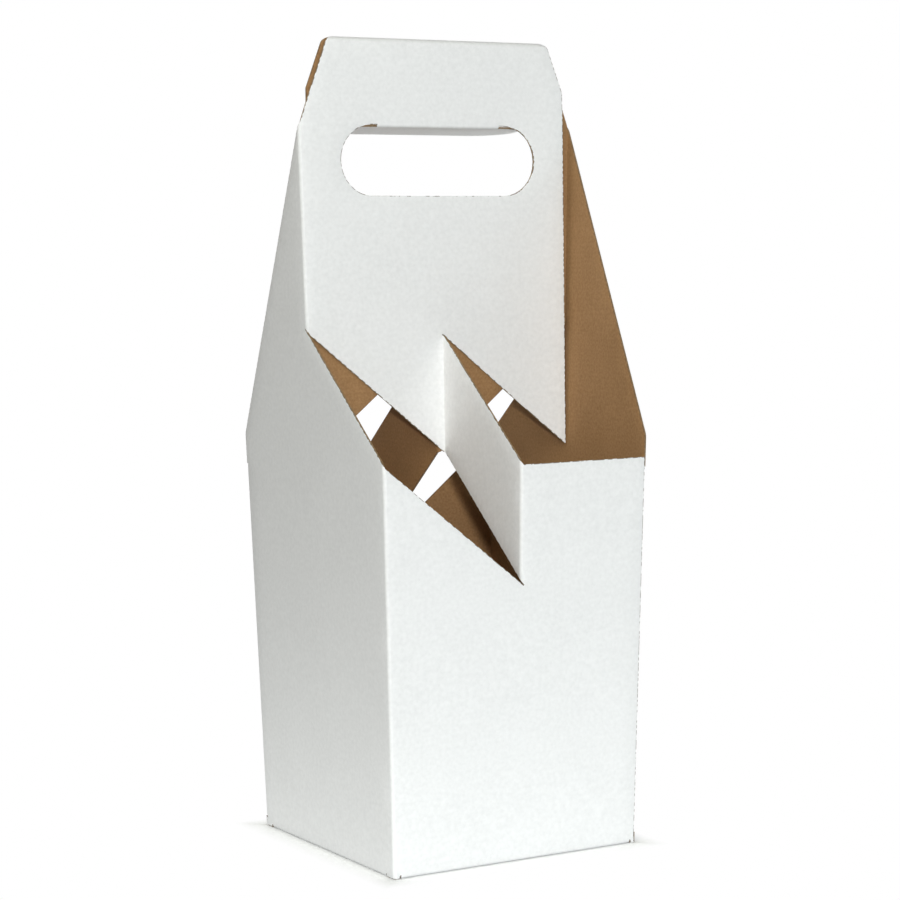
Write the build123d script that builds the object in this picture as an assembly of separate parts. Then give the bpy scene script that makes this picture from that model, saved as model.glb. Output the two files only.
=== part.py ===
from build123d import *
import os
from math import radians, tan

# Four-bottle carrier folded from one die-cut sheet of fine-fluted board, white outside and kraft inside.
# Millimetres, +Z up, the origin at the middle of the base. The sheet is two equal halves: each has a side
# wall, a front or back wall, a handle panel, a divider and its flaps. The second half is the first one
# turned half round the vertical axis, and the two are joined along the handle's top fold.

# Board
board = 1.6
fold_inside = 0.5
slit_width = 0.5

# Walls
base_width = 168.0
wall_lean_angle = 1.5
rim_height = 235.0
corner_rise = 13.0
corner_round = 8.0

# Slits and dividers
slit_angle = 39.2
strip_height = 72.0
divider_offset = 1.0

# Handle
carrier_height = 486.5
layer_gap = 0.4
handle_top_width = 152.0
handle_corner_round = 5.0
shoulder_round = 2.5
shoulder_step = 5.0
fold_shoulder_drop = 49.0
edge_shoulder_drop = 30.5
edge_clearance = 0.8
top_fold_width = 7.0
spread_height = 45.0

# Hand hole and its flap
hole_width = 134.5
hole_height = 42.5
hole_drop = 72.5
hole_clearance = 0.3
hole_flap_gap = 0.3
hole_flap_angle = 87.0
crease_width = 85.0

# Glue tabs
tab_width = 24.0
glue_inset = 1.8
tab_top_gap = 6.0
tab_foot_gap = 4.0
tab_slant = 7.0

# Bottom flaps
flap_inset = 10.0
flap_gap = 0.4
flap_ramp = 8.0
foot_gap = 0.2
relief = 1.0
hook_reach = 16.0
hook_run = 30.0
hook_seam = 1.0
minor_depth = 64.0
minor_inset = 3.0
minor_slant = 22.0

# Sizes that follow from those above
fold_outside = fold_inside + board
lean = tan(radians(wall_lean_angle))
slope = tan(radians(slit_angle))
foot = fold_outside
floor_half = base_width / 2 - foot * lean
corner_height = rim_height + corner_rise
fold_shoulder_height = carrier_height - fold_shoulder_drop
shoulder_tilt = shoulder_step / (2 * fold_outside)
wall_shoulder_height = fold_shoulder_height - shoulder_step / (1 + shoulder_tilt * lean)
edge_shoulder_height = carrier_height - edge_shoulder_drop
hole_level = carrier_height - hole_drop
main_half = base_width / 2 - flap_inset
minor_half = base_width / 2 - board - minor_inset
tab_foot = foot + tab_foot_gap
tab_top = rim_height - tab_top_gap
handle_face = -layer_gap / 2 - board
handle_fold_line = handle_face + fold_outside
divider_fold_line = divider_offset + fold_outside
handle_bend_line = divider_offset - fold_inside
hole_top = hole_level + hole_height / 2
upward = (0, 0, 1)
along_x = (1, 0, 0)
along_y = (0, 1, 0)


def outer_half(height):
    """Half the outside width of the walls at a height."""
    return floor_half + height * lean


def slit_level(height, across_x, across_y):
    """Where a slit's plane cuts the Z axis, if it passes through a point at this height."""
    return height - slope * (across_y - across_x)


def slit_height(level, across_x, across_y, lean_x=0, lean_y=0):
    """Height of a slit over a point that starts at (across_x, across_y) and leans as it rises."""
    return (level + slope * (across_y - across_x)) / (1 - slope * (lean_y - lean_x))


# One slit frees the handle panel and the divider's lower edge, and the other the divider's upper edge.
# Folded, each lies in one sloping plane, because every fold is a right angle.
upper_slit = slit_level(rim_height, divider_fold_line, -outer_half(rim_height))
lower_slit = upper_slit - strip_height
free_edge = outer_half(rim_height) - board - edge_clearance


def slit_plane(level):
    """The sloping plane that holds one slit."""
    return Plane(origin=(0, 0, level), z_dir=(slope, -slope, 1))


def between(solid, low_plane, high_plane):
    """What of a solid lies above one plane and below the other."""
    return split(split(solid, low_plane, keep=Keep.TOP), high_plane, keep=Keep.BOTTOM)


def side_panel(outline):
    """A panel of the left wall, from (y, height) points on its white face."""
    corners = [(-outer_half(height), y, height) for y, height in outline]
    return extrude(make_face(Polyline(*corners, close=True)), board, dir=along_x)


def front_panel(outline):
    """A panel of the front wall, from (x, height) points on its white face."""
    corners = [(x, -outer_half(height), height) for x, height in outline]
    return extrude(make_face(Polyline(*corners, close=True)), board, dir=along_y)


def fold_bar(centre, quadrant, direction, length):
    """A quarter of a bent ring of board that runs along a fold. Quadrant gives the signs of its x and y."""
    ring = Circle(fold_outside) - Circle(fold_inside)
    quarter = Rectangle(fold_outside, fold_outside, align=Align.MIN)
    section = ring & quarter.rotate(Axis.Z, quadrant)
    return extrude(Pos(*centre) * section, length, dir=direction)


def left_wall():
    """The left wall: low in front of the handle's fold, where the slit frees it, and high behind."""
    def slit_at(y):
        return slit_height(lower_slit - slit_width, -floor_half, y, lean_x=-lean)

    def front_edge(height):
        return -outer_half(height) + fold_outside

    def back_edge(height):
        return outer_half(height) - board

    corner_slit = lower_slit - slit_width + slope * fold_outside
    front = side_panel([
        (front_edge(foot_gap), foot_gap),
        (-main_half - relief, foot_gap),
        (-main_half - relief, foot),
        (handle_fold_line, foot),
        (handle_fold_line, slit_at(handle_fold_line)),
        (front_edge(corner_slit), corner_slit),
    ])
    back = side_panel([
        (handle_fold_line, foot),
        (main_half + relief, foot),
        (main_half + relief, foot_gap),
        (back_edge(foot_gap), foot_gap),
        (back_edge(tab_foot), tab_foot),
        (back_edge(tab_foot) - fold_outside, tab_foot),
        (back_edge(tab_top) - fold_outside, tab_top),
        (back_edge(tab_top), tab_top),
        (back_edge(corner_height), corner_height),
        (handle_fold_line, wall_shoulder_height),
    ])
    top_corner = back.edges().filter_by(Axis.X).sort_by(Axis.Y)[-2:].sort_by(Axis.Z)[-1]
    return front + fillet(top_corner, corner_round)


def front_wall():
    """The front wall: cut low to the left of the divider, and level to the right of it."""
    def left_edge(height):
        return -outer_half(height) + fold_outside

    def right_edge(height):
        return outer_half(height) - glue_inset

    level = lower_slit - slit_width
    corner_slit = level - slope * fold_outside
    divider_slit = slit_height(level, divider_fold_line, -floor_half, lean_y=-lean)
    left = front_panel([
        (left_edge(foot_gap), foot_gap),
        (-minor_half - relief, foot_gap),
        (-minor_half - relief, foot),
        (divider_fold_line, foot),
        (divider_fold_line, divider_slit),
        (left_edge(corner_slit), corner_slit),
    ])
    right = front_panel([
        (divider_fold_line, foot),
        (minor_half + relief, foot),
        (minor_half + relief, foot_gap),
        (right_edge(foot_gap), foot_gap),
        (right_edge(rim_height), rim_height),
        (divider_fold_line, rim_height),
    ])
    return left + right


def handle_outline():
    """The handle panel's outline, left of the divider's fold and right of it, as one face."""
    left_edge = -outer_half(fold_shoulder_height) + fold_outside
    slit_start = slit_height(lower_slit, -floor_half + fold_outside, handle_face, lean_x=-lean)
    outline = FilletPolyline(
        (-outer_half(slit_start) + fold_outside, slit_start),
        (handle_bend_line, slit_height(lower_slit, handle_bend_line, handle_face)),
        (handle_bend_line, slit_height(upper_slit, handle_bend_line, handle_face)),
        (free_edge, slit_height(upper_slit, free_edge, handle_face)),
        (free_edge, edge_shoulder_height),
        (handle_top_width / 2, carrier_height),
        (-handle_top_width / 2, carrier_height),
        (left_edge, fold_shoulder_height),
        radius=[0, 0, 0, 0, shoulder_round, handle_corner_round, handle_corner_round, 0],
        close=True,
    )
    return make_face(outline)


def handle_panel():
    """The front handle panel: upright, then spreading towards half of the rounded top fold."""
    half_fold = top_fold_width / 2
    spread_start = carrier_height - spread_height
    spread_end = carrier_height - half_fold
    white_face = Polyline((handle_face, 0), (handle_face, spread_start), (-half_fold, spread_end))
    kraft_face = Polyline(
        (-half_fold + board, spread_end),
        (handle_face + board, spread_start),
        (handle_face + board, 0),
    )
    white_crown = RadiusArc((-half_fold, spread_end), (0, carrier_height), half_fold)
    kraft_crown = RadiusArc((-half_fold + board, spread_end), (0, carrier_height - board), half_fold - board)
    crown_end = Line((0, carrier_height), (0, carrier_height - board))
    low_end = Line((handle_face, 0), (handle_face + board, 0))
    crown = [white_crown, crown_end, kraft_crown]
    section = make_face([*white_face.edges(), *crown, *kraft_face.edges(), low_end])
    sheet = extrude(Plane.YZ * section, base_width, both=True)
    cutter = extrude(Plane.XZ * handle_outline(), base_width)
    return sheet & cutter


def divider():
    """The front divider: a strip between the two slits, from the handle panel to the front wall."""
    back_edge = handle_face - fold_inside
    front_start = -floor_half + fold_outside

    def corner(level, at_front):
        if at_front:
            height = slit_height(level, divider_offset, front_start, lean_y=-lean)
            return (divider_offset, front_start - height * lean, height)
        return (divider_offset, back_edge, slit_height(level, divider_offset, back_edge))

    top = upper_slit - slit_width
    corners = [corner(lower_slit, True), corner(lower_slit, False), corner(top, False), corner(top, True)]
    return extrude(make_face(Polyline(*corners, close=True)), board, dir=along_x)


def upright_folds():
    """The rounded folds: left wall to front wall and to handle, divider to handle and to front wall."""
    low = slit_plane(lower_slit)
    low_beneath = slit_plane(lower_slit - slit_width)
    high_beneath = slit_plane(upper_slit - slit_width)
    high = slit_plane(upper_slit)
    edge = -outer_half(fold_shoulder_height) + fold_outside
    shoulder_point = (edge, handle_face, fold_shoulder_height)
    shoulder = Plane(origin=shoulder_point, z_dir=(-shoulder_tilt, shoulder_tilt, 1))
    sole = Plane.XY.offset(foot_gap)
    third, first = 180, 0
    corner = -floor_half + fold_outside
    left_front = fold_bar((corner, corner, 0), third, (-lean, -lean, 1), carrier_height)
    left_handle = fold_bar((corner, handle_fold_line, 0), third, (-lean, 0, 1), carrier_height)
    bend = (handle_bend_line, handle_face - fold_inside, 0)
    handle_divider = fold_bar(bend, first, upward, carrier_height)
    divider_front = fold_bar((divider_fold_line, corner, 0), third, (0, -lean, 1), carrier_height)
    return [
        between(left_front, sole, low_beneath),
        between(left_handle, low, shoulder),
        between(handle_divider, low, high_beneath),
        between(divider_front, low, high),
    ]


def glue_tab():
    """The tab on the left wall's back edge, inside the back wall, with its fold."""
    root = -floor_half + fold_outside
    tip = -floor_half + tab_width

    def on_tab(x, height):
        return (x - height * lean, outer_half(height) - board, height)

    outline = [
        on_tab(root, tab_foot),
        on_tab(tip, tab_foot + tab_slant),
        on_tab(tip, tab_top - tab_slant),
        on_tab(root, tab_top),
    ]
    tab = extrude(make_face(Polyline(*outline, close=True)), board, dir=(0, -1, 0))
    second = 90
    centre = (root, floor_half - board - fold_outside, 0)
    fold = fold_bar(centre, second, (-lean, lean, 1), carrier_height)
    return tab + between(fold, Plane.XY.offset(tab_foot), Plane.XY.offset(tab_top))


def main_flap():
    """The left wall's bottom flap, which hooks into the right wall's flap along a stepped seam."""
    root = -base_width / 2 + fold_outside
    outline = Polyline(
        (root, -main_half),
        (hook_reach, -main_half),
        (hook_reach, -hook_run / 2),
        (-hook_reach - hook_seam, hook_run / 2),
        (-hook_reach - hook_seam, main_half),
        (root, main_half),
        close=True,
    )
    flap = extrude(make_face(outline), board)
    ring = Circle(fold_outside) - Circle(fold_inside)
    section = ring & Rectangle(fold_outside, fold_outside, align=Align.MAX)
    fold = extrude(Plane.XZ * Pos(root, foot) * section, main_half, both=True)
    return flap + fold


def minor_flap():
    """The front wall's bottom flap, which steps up over the main flaps and is glued on top of them."""
    root = -base_width / 2 + fold_outside
    lift = board + flap_gap
    outline = Polyline(
        (-minor_half, root),
        (minor_half, root),
        (minor_half - minor_slant, root + minor_depth),
        (-minor_half + minor_slant, root + minor_depth),
        close=True,
    )
    step = Polyline(
        (root, 0),
        (root + flap_ramp, lift),
        (root + minor_depth, lift),
        (root + minor_depth, lift + board),
        (root + flap_ramp, lift + board),
        (root, board),
        close=True,
    )
    stepped = extrude(Plane.YZ * make_face(step), minor_half, both=True)
    flap = stepped & extrude(make_face(outline), lift + board)
    ring = Circle(fold_outside) - Circle(fold_inside)
    section = ring & Rectangle(fold_outside, fold_outside, align=Align.MAX)
    fold = extrude(Plane.YZ * Pos(root, foot) * section, minor_half, both=True)
    return flap + fold


def half_carrier():
    """One half of the sheet, folded."""
    panels = [front_wall(), handle_panel(), divider(), glue_tab(), main_flap(), minor_flap()]
    half = left_wall()
    for piece in panels + upright_folds():
        half = half + piece
    return half


def hand_hole(grow):
    """A long round-ended cutter through the front handle panel, grown by a clearance."""
    slot = SlotOverall(hole_width + 2 * grow, hole_height + 2 * grow)
    return extrude(Plane.XZ * Pos(0, hole_level) * slot, top_fold_width)


def hand_flap():
    """The tongue cut from the front hole, creased along its top and pushed back through the rear hole."""
    crease_y = handle_face + board + fold_inside
    crease = Axis((0, crease_y, hole_top), along_x)
    slot = SlotOverall(hole_width - 2 * hole_flap_gap, hole_height)
    tongue = extrude(Plane.XZ.offset(-handle_face) * Pos(0, hole_level) * slot, -board)
    strip = Rectangle(crease_width, board, align=(Align.CENTER, Align.MIN))
    bend = revolve(Pos(0, handle_face, hole_top) * strip, crease, hole_flap_angle)
    return tongue.rotate(crease, hole_flap_angle) + bend


def folded_carrier():
    """The whole sheet: two halves, the hand holes and the flap."""
    half = half_carrier()
    front = half - hand_hole(0) + hand_flap()
    back = (half - hand_hole(hole_clearance)).rotate(Axis.Z, 180)
    return front + back


os.makedirs("parts", exist_ok=True)
carrier = folded_carrier()
export_step(carrier, "parts/folded_carrier.step")
print("solids", len(carrier.solids()), "volume", round(carrier.volume), "box", carrier.bounding_box())
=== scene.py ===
# %% [markdown]
# # A four-bottle carrier folded from one sheet
# The real object is one die-cut sheet of fine-fluted board: a white paper outside, a brown kraft paper
# inside, and a fluted paper glued between them. Two sloping cuts let the handle and the dividers fold out
# of the walls. The lesson folds that sheet in code, gives it its three papers and lights it like a product
# on a white table.

# %% The measured frame
import math

import bpy
import numpy as np
from mathutils import Matrix, Vector, kdtree
from mathutils.geometry import delaunay_2d_cdt


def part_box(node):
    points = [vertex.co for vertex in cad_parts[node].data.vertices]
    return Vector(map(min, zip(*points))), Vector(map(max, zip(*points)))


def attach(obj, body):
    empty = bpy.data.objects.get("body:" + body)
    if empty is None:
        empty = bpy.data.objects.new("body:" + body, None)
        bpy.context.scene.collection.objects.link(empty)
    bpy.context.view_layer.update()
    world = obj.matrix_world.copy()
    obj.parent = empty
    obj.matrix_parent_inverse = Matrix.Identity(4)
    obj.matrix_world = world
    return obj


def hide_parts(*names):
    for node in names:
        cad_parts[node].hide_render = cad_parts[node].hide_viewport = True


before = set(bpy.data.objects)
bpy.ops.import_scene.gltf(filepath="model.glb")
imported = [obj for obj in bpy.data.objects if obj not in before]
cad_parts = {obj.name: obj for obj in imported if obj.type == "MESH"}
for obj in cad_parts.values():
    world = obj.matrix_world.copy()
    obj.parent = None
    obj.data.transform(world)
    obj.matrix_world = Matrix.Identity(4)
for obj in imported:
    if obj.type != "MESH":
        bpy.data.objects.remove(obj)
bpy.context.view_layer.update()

low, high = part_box("folded_carrier")
print("measured box, in metres:", tuple(low), tuple(high))

# %% [markdown]
# ## Board and walls
# The board is scored before it is folded, so each fold is a small round bend, and the walls lean out a
# little. A box with a Bevel modifier has such folds too, but the cuts would then have to be made in it.
# Here each panel is laid out by its sizes, as on the flat blank. All sizes are in metres.

# %% Sizes of the board and the walls
MM = 0.001
board = 1.6 * MM
fold_inside = 0.5 * MM
fold_outside = fold_inside + board
base_width = 168.0 * MM
wall_lean_angle = 1.5
rim_height = 235.0 * MM
corner_rise = 13.0 * MM
corner_round = 8.0 * MM

lean = math.tan(math.radians(wall_lean_angle))
corner_height = rim_height + corner_rise
foot = fold_outside
floor_half = base_width / 2 - foot * lean


def outer_half(height):
    """Half the outside width of the walls at a height."""
    return floor_half + height * lean


print("walls:", round(2 * outer_half(rim_height) / MM, 2), "mm wide outside at the rim")

# %% [markdown]
# ## Two sloping cuts
# Two slits free the handle and the divider from the walls. Every fold is a right angle, so the edges of a
# slit lie in one sloping plane. A Boolean could cut along it, but would leave no record of the edges. A
# formula gives the plane's height over any point instead, and every panel ends there.

# %% Heights of the cuts
slit_angle = 39.2
slit_width = 0.5 * MM
strip_height = 72.0 * MM
divider_offset = 1.0 * MM

slope = math.tan(math.radians(slit_angle))
divider_fold_line = divider_offset + fold_outside


def slit_height(level, x, y, lean_x=0.0, lean_y=0.0):
    """Height of a cut over a point that starts at (x, y) and leans as it rises."""
    return (level + slope * (y - x)) / (1 - slope * (lean_y - lean_x))


upper_cut = rim_height - slope * (-outer_half(rim_height) - divider_fold_line)
lower_cut = upper_cut - strip_height
under_cut = lower_cut - slit_width
print("cuts at the upright axis:", round(lower_cut / MM, 1), "and", round(upper_cut / MM, 1), "mm high")

# %% [markdown]
# ## Handle
# The handle is two layers of board, one from either side wall, joined by a round fold along the top. Only
# the full height is read from the frame, and the other heights hang from it. The free edge bulges 2 mm
# forwards, as soft board does. The measured solid is flat there.

# %% Sizes of the handle
carrier_height = high.z
layer_gap = 0.4 * MM
edge_clearance = 0.8 * MM
bulge = 2.0 * MM
bulge_start = 45.0 * MM
handle_top_half = 76.0 * MM
top_fold_half = 3.5 * MM
spread_height = 45.0 * MM
shoulder_round = 2.5 * MM
shoulder_step = 5.0 * MM
fold_shoulder_drop = 49.0 * MM
edge_shoulder_drop = 30.5 * MM

handle_face = -layer_gap / 2 - board
handle_fold_line = handle_face + fold_outside
handle_bend_line = divider_offset - fold_inside
free_edge = outer_half(rim_height) - board - edge_clearance
spread_start = carrier_height - spread_height
spread_end = carrier_height - top_fold_half
fold_shoulder_height = carrier_height - fold_shoulder_drop
edge_shoulder_height = carrier_height - edge_shoulder_drop
shoulder_tilt = shoulder_step / (2 * fold_outside)
wall_shoulder_height = fold_shoulder_height - shoulder_step / (1 + shoulder_tilt * lean)
print("handle: free edge", round(free_edge / MM, 1), "mm from the middle")

# %% [markdown]
# ## Hand hole
# The hole's flap stays on the front layer and is pushed back through the rear one, where it pads the hand.
# The rear hole is a little wider, so that the flap passes and no second edge shows in the hole. Its
# clearance is larger here than in the measured solid, and the flap's crease is tighter.

# %% Sizes of the hand hole
hole_half = 67.25 * MM
hole_round = 21.25 * MM
hole_drop = 72.5 * MM
hole_clearance = 1.3 * MM
hole_flap_gap = 0.3 * MM
hole_flap_tilt = 87.0
crease_half = 42.5 * MM
crease_slack = 0.1 * MM

hole_level = carrier_height - hole_drop
hole_top = hole_level + hole_round
hole_flap_angle = math.radians(hole_flap_tilt)
crease_outside = board + crease_slack
print("hand hole:", 2 * hole_half / MM, "by", 2 * hole_round / MM, "mm")

# %% [markdown]
# ## Tabs and bottom flaps
# Two glue tabs close the walls to a tube. The main flaps under the side walls hook into each other, and the
# minor flaps are glued on top of them. Little of this shows, and a plain floor could stand in for it. The
# flaps are laid out all the same, because their folds and notches show along the foot. The notches are
# narrower here than in the measured solid.

# %% Sizes of the tabs and flaps
tab_width = 24.0 * MM
glue_inset = 1.8 * MM
tab_top_gap = 6.0 * MM
tab_foot_gap = 4.0 * MM
tab_slant = 7.0 * MM
flap_inset = 10.0 * MM
flap_gap = 0.4 * MM
flap_ramp = 8.0 * MM
foot_gap = 0.2 * MM
relief = 0.3 * MM
hook_reach = 16.0 * MM
hook_run = 30.0 * MM
hook_seam = 1.0 * MM
minor_depth = 64.0 * MM
minor_inset = 3.0 * MM
minor_slant = 22.0 * MM

flap_root = -base_width / 2 + fold_outside
main_half = base_width / 2 - flap_inset
minor_half = base_width / 2 - board - minor_inset
tab_foot = foot + tab_foot_gap
tab_top = rim_height - tab_top_gap
print("bottom folds:", round(2 * main_half / MM, 1), "and", round(2 * minor_half / MM, 1), "mm long")

# %% [markdown]
# ## A sheet that remembers its cuts
# The three papers of the board follow the same panels. Solidify modifiers could part them, but would not
# know a cut from a fold. So one skin of points on the white face carries them all. Each point knows the way
# out of the paper, whether the die cut it there, and how far it lies across the flutes.

# %% The skin of the sheet
weld_reach = 0.02 * MM


class Skin:
    """Points of the white face, with their outward directions, cut marks, flute heights and faces."""

    def __init__(self):
        self.panels = []
        self.places = np.zeros((0, 3))
        self.outwards = np.zeros((0, 3))
        self.cuts = np.zeros(0)
        self.flutes = np.zeros(0)
        self.faces = []

    def add(self, places, outwards, cuts, flutes, faces):
        start = len(self.places)
        self.places = np.vstack([self.places, places])
        self.outwards = np.vstack([self.outwards, outwards])
        self.cuts = np.concatenate([self.cuts, cuts])
        self.flutes = np.concatenate([self.flutes, flutes])
        self.faces += [tuple(start + i for i in face) for face in faces]

    def add_turned(self, other):
        """Adds another skin, turned half round the upright axis."""
        half_turn = np.array([-1.0, -1.0, 1.0])
        self.add(other.places * half_turn, other.outwards * half_turn, other.cuts, other.flutes, other.faces)

    def weld(self):
        """Joins points that meet at the folds and turns every face outwards."""
        tree = kdtree.KDTree(len(self.places))
        for i, place in enumerate(self.places):
            tree.insert(place, i)
        tree.balance()
        target = [min(j for _, j, _ in tree.find_range(place, weld_reach)) for place in self.places]
        keep = sorted(set(target))
        new = {old: i for i, old in enumerate(keep)}
        faces = []
        for face in self.faces:
            corners = list(dict.fromkeys(new[target[i]] for i in face))
            if len(corners) > 2:
                faces.append(corners)
        for name in ("places", "outwards", "cuts", "flutes"):
            setattr(self, name, getattr(self, name)[keep])
        self.faces = [self.faced_out(face) for face in faces]

    def faced_out(self, face):
        a, b, c = self.places[face[0]], self.places[face[1]], self.places[face[2]]
        facing = np.dot(np.cross(b - a, c - a), self.outwards[list(face)].mean(0))
        return tuple(face) if facing > 0 else tuple(reversed(face))


print("points of two panels are joined within", weld_reach / MM, "mm")

# %% [markdown]
# ## Edges of a panel
# A panel is an outline on the flat blank. Each edge is marked as a cut, or as a fold of so many rows, so
# that the two panels at a fold get the same points. A subdivided plane has no points on slanted edges, but
# walking along the outline puts them there.

# %% Walking round an outline
CUT = 0
cut_step = 3.0 * MM
end_row_share = 0.17


def row_shares(rows):
    """Shares along a fold: even rows, and a short one at either end, where the die cut it."""
    end = end_row_share / rows
    return np.concatenate([[0, end], np.arange(1, rows) / rows, [1 - end, 1]])


def walk(outline):
    """Points along an outline of (across, height, edge), and which of them the die cut.

    An edge is CUT or the number of rows of a fold.
    """
    points = []
    cuts = []
    onward = outline[1:] + outline[:1]
    backward = outline[-1:] + outline[:-1]
    for (s, h, edge), (s2, h2, _), before in zip(outline, onward, backward):
        count = max(1, math.ceil(math.hypot(s2 - s, h2 - h) / cut_step))
        shares = row_shares(edge)[:-1] if edge else np.arange(count) / count
        for i, t in enumerate(shares):
            points.append((s + (s2 - s) * t, h + (h2 - h) * t))
            cuts.append(edge == CUT or (i == 0 and before[2] == CUT))
    return np.array(points), np.array(cuts)


print("a fold of 3 rows has points at the shares", row_shares(3).round(2))

# %% Which points lie on a panel
no_length = 1e-18


def inside(loops, points):
    """Which points lie inside the outline and outside its holes."""
    odd = np.zeros(len(points), bool)
    for loop in loops:
        ends = np.roll(loop, -1, axis=0)
        for (s, h), (s2, h2) in zip(loop, ends):
            if h == h2:
                continue
            crosses = (h > points[:, 1]) != (h2 > points[:, 1])
            at = s + (points[:, 1] - h) / (h2 - h) * (s2 - s)
            odd ^= crosses & (points[:, 0] < at)
    return odd


def edge_distance(loops, points):
    """Distance from each point to the nearest edge."""
    nearest = np.full(len(points), np.inf)
    for loop in loops:
        for a, b in zip(loop, np.roll(loop, -1, axis=0)):
            along = b - a
            t = np.clip((points - a) @ along / max(along @ along, no_length), 0, 1)
            nearest = np.minimum(nearest, np.linalg.norm(points - a - t[:, None] * along, axis=1))
    return nearest


unit_square = np.array([(0, 0), (1, 0), (1, 1), (0, 1)], float)
square_middle = np.array([(0.5, 0.5)])
print("middle of a square: inside", inside([unit_square], square_middle)[0],
      "and off its edges by", edge_distance([unit_square], square_middle)[0])

# %% [markdown]
# ## Filling a panel
# Along its cuts the board is pressed down by the die, so the mesh needs a narrow ring there and only large
# cells elsewhere. A grid fill wants four sides and no hole. Blender's Delaunay triangulation takes any
# outline with any points inside it and keeps the edges.

# %% Points inside a panel
panel_cell = 9.0 * MM
crush_width = 1.4 * MM
ring_room_share = 0.8
cell_room_share = 0.5


def ring_points(loop, cuts):
    """Points a crush width to either side of the cut edges. fill_panel drops those outside."""
    tangent = np.roll(loop, -1, axis=0) - np.roll(loop, 1, axis=0)
    tangent /= np.linalg.norm(tangent, axis=1)[:, None]
    sideways = np.column_stack([-tangent[:, 1], tangent[:, 0]]) * crush_width
    return np.vstack([loop[cuts] + sideways[cuts], loop[cuts] - sideways[cuts]])


def inner_points(walked):
    """Points inside a panel: a ring along its cuts, and even cells clear of its edges."""
    loops = [points for points, _ in walked]
    ring = np.vstack([ring_points(points, cuts) for points, cuts in walked])
    ring = ring[inside(loops, ring)]
    ring = ring[edge_distance(loops, ring) > ring_room_share * crush_width]
    rim = np.vstack(loops)
    (s_low, h_low), (s_high, h_high) = rim.min(0), rim.max(0)
    columns = np.arange(s_low, s_high, panel_cell)
    rows = np.arange(h_low, h_high, panel_cell)
    grid = np.stack(np.meshgrid(columns, rows), -1).reshape(-1, 2)
    grid = grid[inside(loops, grid)]
    grid = grid[edge_distance(loops, grid) > cell_room_share * panel_cell]
    return np.vstack([ring, grid])


print("cells of", panel_cell / MM, "mm, and a ring of", crush_width / MM, "mm along the cuts")

# %% The fill
merge_mm = 1e-4


def fill_panel(skin, place, outline, holes=(), flute=lambda s, h: h, shared=True):
    """Fills an outline, sends it through place(s, h) -> (point, outward), and adds it to the skin."""
    walked = [walk(loop) for loop in (outline, *holes)]
    loops = [points for points, _ in walked]
    skin.panels.append((place, loops, flute, shared))
    inner = inner_points(walked)
    edges = []
    start = 0
    for loop in loops:
        edges += [(start + i, start + (i + 1) % len(loop)) for i in range(len(loop))]
        start += len(loop)
    in_mm = [Vector(p / MM) for p in np.vstack([*loops, inner])]
    flat, _, triangles, origins, _, _ = delaunay_2d_cdt(in_mm, edges, [], 0, merge_mm)
    flat = np.array([tuple(p) for p in flat]) * MM
    cut_of = np.concatenate([*(cuts for _, cuts in walked), np.zeros(len(inner), bool)])
    cuts = np.array([any(cut_of[i] for i in origin) for origin in origins], float)
    centres = np.array([flat[list(t)].mean(0) for t in triangles])
    kept = [t for t, is_in in zip(triangles, inside(loops, centres)) if is_in]
    placed = [place(s, h) for s, h in flat]
    skin.add(
        np.array([p for p, _ in placed]),
        np.array([n for _, n in placed]),
        cuts,
        np.array([flute(s, h) for s, h in flat]),
        kept,
    )


print("points of the fill closer than", merge_mm, "mm are one")

# %% Arcs and rounded corners


def arc_points(centre, radius, start, end, steps):
    """Points on an arc, from one angle to another in degrees, without the last."""
    angles = np.radians(np.linspace(start, end, steps + 1)[:-1])
    return [(centre[0] + radius * math.cos(a), centre[1] + radius * math.sin(a), CUT) for a in angles]


def rounded_corner(before, corner, after, radius, steps=6):
    """A corner of a cut edge, rounded to a radius."""
    before, corner, after = (np.array(p[:2]) for p in (before, corner, after))
    back = (before - corner) / np.linalg.norm(before - corner)
    onward = (after - corner) / np.linalg.norm(after - corner)
    reach = radius * math.tan(math.acos(np.clip(-back @ onward, -1, 1)) / 2)
    first = corner + back * reach
    last = corner + onward * reach
    shares = np.linspace(0, 1, steps + 1)
    return [(*((1 - t) ** 2 * first + 2 * t * (1 - t) * corner + t * t * last), CUT) for t in shares]


print("a rounded corner has", len(rounded_corner((1, 0), (0, 0), (0, 1), 0.5)), "points")

# %% [markdown]
# ## Folds
# A fold bends the board round an axis. A Simple Deform modifier bends a whole mesh, but the carrier has
# many folds that start and end at cuts. So each fold is a strip of faces between two panel edges, with one
# function that says where the bend leads. Angles run round the upright axis, as seen from above.

# %% Rounded folds
to_right, to_back, to_left, to_front = 0, 90, 180, 270


def add_fold(skin, rows, first_edge, last_edge, bend, steps=5):
    """Adds a rounded fold between two panel edges of as many rows.

    bend(first, last, share) gives a point and its outward direction, a share of the way round from the
    point on the first edge to the point on the last one.
    """
    places = []
    outwards = []
    shares = row_shares(rows)
    for along in shares:
        first = first_edge[0] + (first_edge[1] - first_edge[0]) * along
        last = last_edge[0] + (last_edge[1] - last_edge[0]) * along
        for j in range(steps + 1):
            place, outward = bend(first, last, j / steps)
            places.append(place)
            outwards.append(outward)
    faces = []
    for i in range(len(shares) - 1):
        for j in range(steps):
            a = i * (steps + 1) + j
            faces.append((a, a + 1, a + steps + 2, a + steps + 1))
    at_end = np.repeat((shares == 0) | (shares == 1), steps + 1)
    places = np.array(places)
    skin.add(places, np.array(outwards), at_end.astype(float), places[:, 2], faces)


def round_axis(x_of, y_of, radius, start, end, inward=False):
    """A fold round an upright axis whose place depends on the height."""
    def bend(first, last, share):
        height = first[2] + (last[2] - first[2]) * share
        angle = math.radians(start + (end - start) * share)
        direction = np.array([math.cos(angle), math.sin(angle), 0])
        centre = np.array([x_of(height), y_of(height), height])
        return centre + direction * radius, -direction if inward else direction
    return bend


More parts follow.
